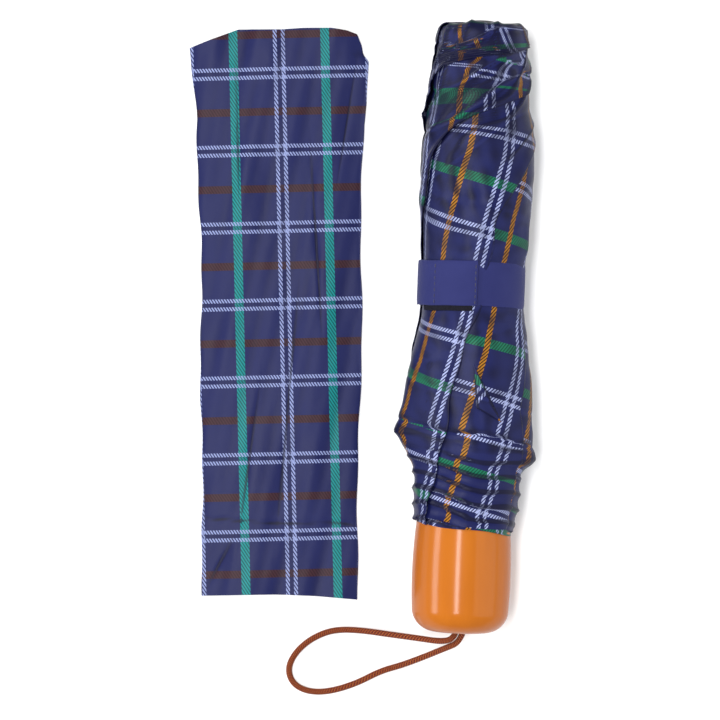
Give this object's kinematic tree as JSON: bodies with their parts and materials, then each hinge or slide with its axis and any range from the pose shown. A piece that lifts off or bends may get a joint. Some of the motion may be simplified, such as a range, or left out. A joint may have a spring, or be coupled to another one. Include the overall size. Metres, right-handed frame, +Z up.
{
  "type": "folding umbrella",
  "caption": "Closed three-fold pocket umbrella with tartan cloth, wooden stub grip and wrist cord, beside its flat fabric cover; it opens, telescopes and unstraps.",
  "frame": {"origin": "centre of the bounding box of the umbrella and its cover, on the floor they lie on; the wrist cord is left out", "axes": "+Y along the shaft from grip to crown, +Z up from the floor, +X to the right seen from above with the crown away from the viewer"},
  "size_m": [0.143, 0.2687, 0.0406],
  "materials": {
    "plated_steel": "bright nickel plate on thin steel",
    "black_nylon": "moulded black nylon",
    "canopy_tartan": "thin glossy polyester, printed navy tartan with white, green and yellow lines",
    "cover_tartan": "the same cloth turned a quarter, with white, teal and brown lines",
    "navy_cloth": "plain navy ribbon cloth",
    "lacquered_wood": "honey-orange gloss lacquer",
    "orange_braid": "rust-orange braided cord"
  },
  "bodies": {
    "umbrella": {"upper_tube": "plated_steel", "crown": "black_nylon", "crown_wire": "plated_steel", "top_cap": "black_nylon", "canopy_bundle": "canopy_tartan", "tie_strap": "navy_cloth"},
    "rib_inner_1": {"rib_inner_1": "plated_steel"},
    "rib_middle_1": {"rib_middle_1": "plated_steel"},
    "rib_outer_1": {"rib_outer_1": "plated_steel"},
    "stretcher_1": {"stretcher_1": "plated_steel"},
    "rib_inner_2": {"rib_inner_2": "plated_steel"},
    "rib_middle_2": {"rib_middle_2": "plated_steel"},
    "rib_outer_2": {"rib_outer_2": "plated_steel"},
    "stretcher_2": {"stretcher_2": "plated_steel"},
    "rib_inner_3": {"rib_inner_3": "plated_steel"},
    "rib_middle_3": {"rib_middle_3": "plated_steel"},
    "rib_outer_3": {"rib_outer_3": "plated_steel"},
    "stretcher_3": {"stretcher_3": "plated_steel"},
    "rib_inner_4": {"rib_inner_4": "plated_steel"},
    "rib_middle_4": {"rib_middle_4": "plated_steel"},
    "rib_outer_4": {"rib_outer_4": "plated_steel"},
    "stretcher_4": {"stretcher_4": "plated_steel"},
    "rib_inner_5": {"rib_inner_5": "plated_steel"},
    "rib_middle_5": {"rib_middle_5": "plated_steel"},
    "rib_outer_5": {"rib_outer_5": "plated_steel"},
    "stretcher_5": {"stretcher_5": "plated_steel"},
    "rib_inner_6": {"rib_inner_6": "plated_steel"},
    "rib_middle_6": {"rib_middle_6": "plated_steel"},
    "rib_outer_6": {"rib_outer_6": "plated_steel"},
    "stretcher_6": {"stretcher_6": "plated_steel"},
    "rib_inner_7": {"rib_inner_7": "plated_steel"},
    "rib_middle_7": {"rib_middle_7": "plated_steel"},
    "rib_outer_7": {"rib_outer_7": "plated_steel"},
    "stretcher_7": {"stretcher_7": "plated_steel"},
    "rib_inner_8": {"rib_inner_8": "plated_steel"},
    "rib_middle_8": {"rib_middle_8": "plated_steel"},
    "rib_outer_8": {"rib_outer_8": "plated_steel"},
    "stretcher_8": {"stretcher_8": "plated_steel"},
    "fold_inner_1": {"fold_inner_1": "canopy_tartan"},
    "fold_middle_1": {"fold_middle_1": "canopy_tartan"},
    "fold_outer_1": {"fold_outer_1": "canopy_tartan"},
    "fold_inner_5": {"fold_inner_5": "canopy_tartan"},
    "fold_middle_5": {"fold_middle_5": "canopy_tartan"},
    "fold_outer_5": {"fold_outer_5": "canopy_tartan"},
    "runner": {"runner": "black_nylon"},
    "runner_catch": {"runner_catch": "black_nylon"},
    "middle_tube": {"middle_tube": "plated_steel"},
    "grip": {"lower_tube": "plated_steel", "grip": "lacquered_wood", "cord_ferrule": "black_nylon", "wrist_cord": "orange_braid"},
    "strap_tab": {"strap_tab": "navy_cloth"},
    "cover": {"cover_back": "cover_tartan", "cover_front": "cover_tartan"}
  },
  "joints": [
    {"name": "canopy_open", "type": "hinge", "parent": "umbrella", "child": "rib_inner_1", "pos_m": [0.0522, 0.106, 0.0196], "axis": [0, 0, 1], "range_deg": [0, 80], "deforming": ["canopy_bundle", "tie_strap", "strap_tab", "fold_inner_1", "fold_middle_1", "fold_outer_1", "fold_inner_5", "fold_middle_5", "fold_outer_5"]},
    {"name": "rib_middle_1_hinge", "type": "hinge", "parent": "rib_inner_1", "child": "rib_middle_1", "pos_m": [0.0562, -0.044, 0.0196], "axis": [0, 0, 1], "range_deg": [-192, 0]},
    {"name": "rib_outer_1_hinge", "type": "hinge", "parent": "rib_middle_1", "child": "rib_outer_1", "pos_m": [0.0588, 0.101, 0.0196], "axis": [0, 0, 1], "range_deg": [0, 164]},
    {"name": "stretcher_1_hinge", "type": "hinge", "parent": "rib_inner_1", "child": "stretcher_1", "pos_m": [0.05428, 0.02803, 0.0196], "axis": [0, 0, 1], "range_deg": [-133.86, 0]},
    {"name": "rib_inner_2_hinge", "type": "hinge", "parent": "umbrella", "child": "rib_inner_2", "pos_m": [0.04986, 0.106, 0.02526], "axis": [-0.7071, 0, 0.7071], "range_deg": [0, 80]},
    {"name": "rib_middle_2_hinge", "type": "hinge", "parent": "rib_inner_2", "child": "rib_middle_2", "pos_m": [0.05269, -0.044, 0.02809], "axis": [-0.7071, 0, 0.7071], "range_deg": [-192, 0]},
    {"name": "rib_outer_2_hinge", "type": "hinge", "parent": "rib_middle_2", "child": "rib_outer_2", "pos_m": [0.05452, 0.101, 0.02992], "axis": [-0.7071, 0, 0.7071], "range_deg": [0, 164]},
    {"name": "stretcher_2_hinge", "type": "hinge", "parent": "rib_inner_2", "child": "stretcher_2", "pos_m": [0.05133, 0.02803, 0.02673], "axis": [-0.7071, 0, 0.7071], "range_deg": [-133.86, 0]},
    {"name": "rib_inner_3_hinge", "type": "hinge", "parent": "umbrella", "child": "rib_inner_3", "pos_m": [0.0442, 0.106, 0.0276], "axis": [-1, 0, 0], "range_deg": [0, 80]},
    {"name": "rib_middle_3_hinge", "type": "hinge", "parent": "rib_inner_3", "child": "rib_middle_3", "pos_m": [0.0442, -0.044, 0.0316], "axis": [-1, 0, 0], "range_deg": [-192, 0]},
    {"name": "rib_outer_3_hinge", "type": "hinge", "parent": "rib_middle_3", "child": "rib_outer_3", "pos_m": [0.0442, 0.101, 0.0342], "axis": [-1, 0, 0], "range_deg": [0, 164]},
    {"name": "stretcher_3_hinge", "type": "hinge", "parent": "rib_inner_3", "child": "stretcher_3", "pos_m": [0.0442, 0.02803, 0.02968], "axis": [-1, 0, 0], "range_deg": [-133.86, 0]},
    {"name": "rib_inner_4_hinge", "type": "hinge", "parent": "umbrella", "child": "rib_inner_4", "pos_m": [0.03854, 0.106, 0.02526], "axis": [-0.7071, 0, -0.7071], "range_deg": [0, 80]},
    {"name": "rib_middle_4_hinge", "type": "hinge", "parent": "rib_inner_4", "child": "rib_middle_4", "pos_m": [0.03571, -0.044, 0.02809], "axis": [-0.7071, 0, -0.7071], "range_deg": [-192, 0]},
    {"name": "rib_outer_4_hinge", "type": "hinge", "parent": "rib_middle_4", "child": "rib_outer_4", "pos_m": [0.03388, 0.101, 0.02992], "axis": [-0.7071, 0, -0.7071], "range_deg": [0, 164]},
    {"name": "stretcher_4_hinge", "type": "hinge", "parent": "rib_inner_4", "child": "stretcher_4", "pos_m": [0.03707, 0.02803, 0.02673], "axis": [-0.7071, 0, -0.7071], "range_deg": [-133.86, 0]},
    {"name": "rib_inner_5_hinge", "type": "hinge", "parent": "umbrella", "child": "rib_inner_5", "pos_m": [0.0362, 0.106, 0.0196], "axis": [0, 0, -1], "range_deg": [0, 80]},
    {"name": "rib_middle_5_hinge", "type": "hinge", "parent": "rib_inner_5", "child": "rib_middle_5", "pos_m": [0.0322, -0.044, 0.0196], "axis": [0, 0, -1], "range_deg": [-192, 0]},
    {"name": "rib_outer_5_hinge", "type": "hinge", "parent": "rib_middle_5", "child": "rib_outer_5", "pos_m": [0.0296, 0.101, 0.0196], "axis": [0, 0, -1], "range_deg": [0, 164]},
    {"name": "stretcher_5_hinge", "type": "hinge", "parent": "rib_inner_5", "child": "stretcher_5", "pos_m": [0.03412, 0.02803, 0.0196], "axis": [0, 0, -1], "range_deg": [-133.86, 0]},
    {"name": "rib_inner_6_hinge", "type": "hinge", "parent": "umbrella", "child": "rib_inner_6", "pos_m": [0.03854, 0.106, 0.01394], "axis": [0.7071, 0, -0.7071], "range_deg": [0, 80]},
    {"name": "rib_middle_6_hinge", "type": "hinge", "parent": "rib_inner_6", "child": "rib_middle_6", "pos_m": [0.03571, -0.044, 0.01111], "axis": [0.7071, 0, -0.7071], "range_deg": [-192, 0]},
    {"name": "rib_outer_6_hinge", "type": "hinge", "parent": "rib_middle_6", "child": "rib_outer_6", "pos_m": [0.03388, 0.101, 0.00928], "axis": [0.7071, 0, -0.7071], "range_deg": [0, 164]},
    {"name": "stretcher_6_hinge", "type": "hinge", "parent": "rib_inner_6", "child": "stretcher_6", "pos_m": [0.03707, 0.02803, 0.01247], "axis": [0.7071, 0, -0.7071], "range_deg": [-133.86, 0]},
    {"name": "rib_inner_7_hinge", "type": "hinge", "parent": "umbrella", "child": "rib_inner_7", "pos_m": [0.0442, 0.106, 0.0116], "axis": [1, 0, 0], "range_deg": [0, 80]},
    {"name": "rib_middle_7_hinge", "type": "hinge", "parent": "rib_inner_7", "child": "rib_middle_7", "pos_m": [0.0442, -0.044, 0.0076], "axis": [1, 0, 0], "range_deg": [-192, 0]},
    {"name": "rib_outer_7_hinge", "type": "hinge", "parent": "rib_middle_7", "child": "rib_outer_7", "pos_m": [0.0442, 0.101, 0.005], "axis": [1, 0, 0], "range_deg": [0, 164]},
    {"name": "stretcher_7_hinge", "type": "hinge", "parent": "rib_inner_7", "child": "stretcher_7", "pos_m": [0.0442, 0.02803, 0.00952], "axis": [1, 0, 0], "range_deg": [-133.86, 0]},
    {"name": "rib_inner_8_hinge", "type": "hinge", "parent": "umbrella", "child": "rib_inner_8", "pos_m": [0.04986, 0.106, 0.01394], "axis": [0.7071, 0, 0.7071], "range_deg": [0, 80]},
    {"name": "rib_middle_8_hinge", "type": "hinge", "parent": "rib_inner_8", "child": "rib_middle_8", "pos_m": [0.05269, -0.044, 0.01111], "axis": [0.7071, 0, 0.7071], "range_deg": [-192, 0]},
    {"name": "rib_outer_8_hinge", "type": "hinge", "parent": "rib_middle_8", "child": "rib_outer_8", "pos_m": [0.05452, 0.101, 0.00928], "axis": [0.7071, 0, 0.7071], "range_deg": [0, 164]},
    {"name": "stretcher_8_hinge", "type": "hinge", "parent": "rib_inner_8", "child": "stretcher_8", "pos_m": [0.05133, 0.02803, 0.01247], "axis": [0.7071, 0, 0.7071], "range_deg": [-133.86, 0]},
    {"name": "fold_inner_1_spread", "type": "hinge", "parent": "rib_inner_1", "child": "fold_inner_1", "pos_m": [0.05081, 0.11388, 0.0196], "axis": [-0.9848, -0.1736, 0], "range_deg": [0, 179.9]},
    {"name": "fold_middle_1_spread", "type": "hinge", "parent": "rib_middle_1", "child": "fold_middle_1", "pos_m": [0.0943, -0.19731, 0.0196], "axis": [0.9272, 0.3746, 0], "range_deg": [0, 179.9]},
    {"name": "fold_outer_1_spread", "type": "hinge", "parent": "rib_outer_1", "child": "fold_outer_1", "pos_m": [-0.05755, 0.37797, 0.0196], "axis": [-0.788, -0.6157, 0], "range_deg": [0, 179.9]},
    {"name": "fold_inner_5_spread", "type": "hinge", "parent": "rib_inner_5", "child": "fold_inner_5", "pos_m": [0.03759, 0.11388, 0.0196], "axis": [0.9848, -0.1736, 0], "range_deg": [0, 179.9]},
    {"name": "fold_middle_5_spread", "type": "hinge", "parent": "rib_middle_5", "child": "fold_middle_5", "pos_m": [-0.0059, -0.19731, 0.0196], "axis": [-0.9272, 0.3746, 0], "range_deg": [0, 179.9]},
    {"name": "fold_outer_5_spread", "type": "hinge", "parent": "rib_outer_5", "child": "fold_outer_5", "pos_m": [0.14595, 0.37797, 0.0196], "axis": [0.788, -0.6157, 0], "range_deg": [0, 179.9]},
    {"name": "runner_slide", "type": "slide", "parent": "umbrella", "child": "runner", "axis": [0, 1, 0], "range_m": [0, 0.10673]},
    {"name": "runner_catch_press", "type": "slide", "parent": "runner", "child": "runner_catch", "axis": [0.3827, 0, -0.9239], "range_m": [0, 0.0008], "stiffness_N_per_m": 300},
    {"name": "middle_tube_slide", "type": "slide", "parent": "umbrella", "child": "middle_tube", "axis": [0, -1, 0], "range_m": [0, 0.15]},
    {"name": "lower_tube_slide", "type": "slide", "parent": "middle_tube", "child": "grip", "axis": [0, -1, 0], "range_m": [0, 0.15]},
    {"name": "strap_tab_open", "type": "hinge", "parent": "umbrella", "child": "strap_tab", "pos_m": [0.0229, 0.0165, 0.0196], "axis": [0, -1, 0], "range_deg": [0, 110]},
    {"name": "cover_slide", "type": "slide", "parent": "umbrella", "child": "cover", "axis": [-1, 0, 0], "range_m": [0, 0.12]}
  ],
  "couplings": [
    {"joint": "rib_middle_1_hinge", "follows": "canopy_open", "ratio": -2.4},
    {"joint": "rib_outer_1_hinge", "follows": "canopy_open", "ratio": 2.05},
    {"joint": "stretcher_1_hinge", "follows": "canopy_open", "ratio": -1.6731},
    {"joint": "rib_inner_2_hinge", "follows": "canopy_open", "ratio": 1},
    {"joint": "rib_middle_2_hinge", "follows": "canopy_open", "ratio": -2.4},
    {"joint": "rib_outer_2_hinge", "follows": "canopy_open", "ratio": 2.05},
    {"joint": "stretcher_2_hinge", "follows": "canopy_open", "ratio": -1.6731},
    {"joint": "rib_inner_3_hinge", "follows": "canopy_open", "ratio": 1},
    {"joint": "rib_middle_3_hinge", "follows": "canopy_open", "ratio": -2.4},
    {"joint": "rib_outer_3_hinge", "follows": "canopy_open", "ratio": 2.05},
    {"joint": "stretcher_3_hinge", "follows": "canopy_open", "ratio": -1.6731},
    {"joint": "rib_inner_4_hinge", "follows": "canopy_open", "ratio": 1},
    {"joint": "rib_middle_4_hinge", "follows": "canopy_open", "ratio": -2.4},
    {"joint": "rib_outer_4_hinge", "follows": "canopy_open", "ratio": 2.05},
    {"joint": "stretcher_4_hinge", "follows": "canopy_open", "ratio": -1.6731},
    {"joint": "rib_inner_5_hinge", "follows": "canopy_open", "ratio": 1},
    {"joint": "rib_middle_5_hinge", "follows": "canopy_open", "ratio": -2.4},
    {"joint": "rib_outer_5_hinge", "follows": "canopy_open", "ratio": 2.05},
    {"joint": "stretcher_5_hinge", "follows": "canopy_open", "ratio": -1.6731},
    {"joint": "rib_inner_6_hinge", "follows": "canopy_open", "ratio": 1},
    {"joint": "rib_middle_6_hinge", "follows": "canopy_open", "ratio": -2.4},
    {"joint": "rib_outer_6_hinge", "follows": "canopy_open", "ratio": 2.05},
    {"joint": "stretcher_6_hinge", "follows": "canopy_open", "ratio": -1.6731},
    {"joint": "rib_inner_7_hinge", "follows": "canopy_open", "ratio": 1},
    {"joint": "rib_middle_7_hinge", "follows": "canopy_open", "ratio": -2.4},
    {"joint": "rib_outer_7_hinge", "follows": "canopy_open", "ratio": 2.05},
    {"joint": "stretcher_7_hinge", "follows": "canopy_open", "ratio": -1.6731},
    {"joint": "rib_inner_8_hinge", "follows": "canopy_open", "ratio": 1},
    {"joint": "rib_middle_8_hinge", "follows": "canopy_open", "ratio": -2.4},
    {"joint": "rib_outer_8_hinge", "follows": "canopy_open", "ratio": 2.05},
    {"joint": "stretcher_8_hinge", "follows": "canopy_open", "ratio": -1.6731},
    {"joint": "fold_inner_1_spread", "follows": "canopy_open", "ratio": 2.2487},
    {"joint": "fold_middle_1_spread", "follows": "canopy_open", "ratio": 2.2487},
    {"joint": "fold_outer_1_spread", "follows": "canopy_open", "ratio": 2.2487},
    {"joint": "fold_inner_5_spread", "follows": "canopy_open", "ratio": 2.2487},
    {"joint": "fold_middle_5_spread", "follows": "canopy_open", "ratio": 2.2487},
    {"joint": "fold_outer_5_spread", "follows": "canopy_open", "ratio": 2.2487},
    {"joint": "runner_slide", "follows": "canopy_open", "m_per_rad": 0.076429}
  ]
}
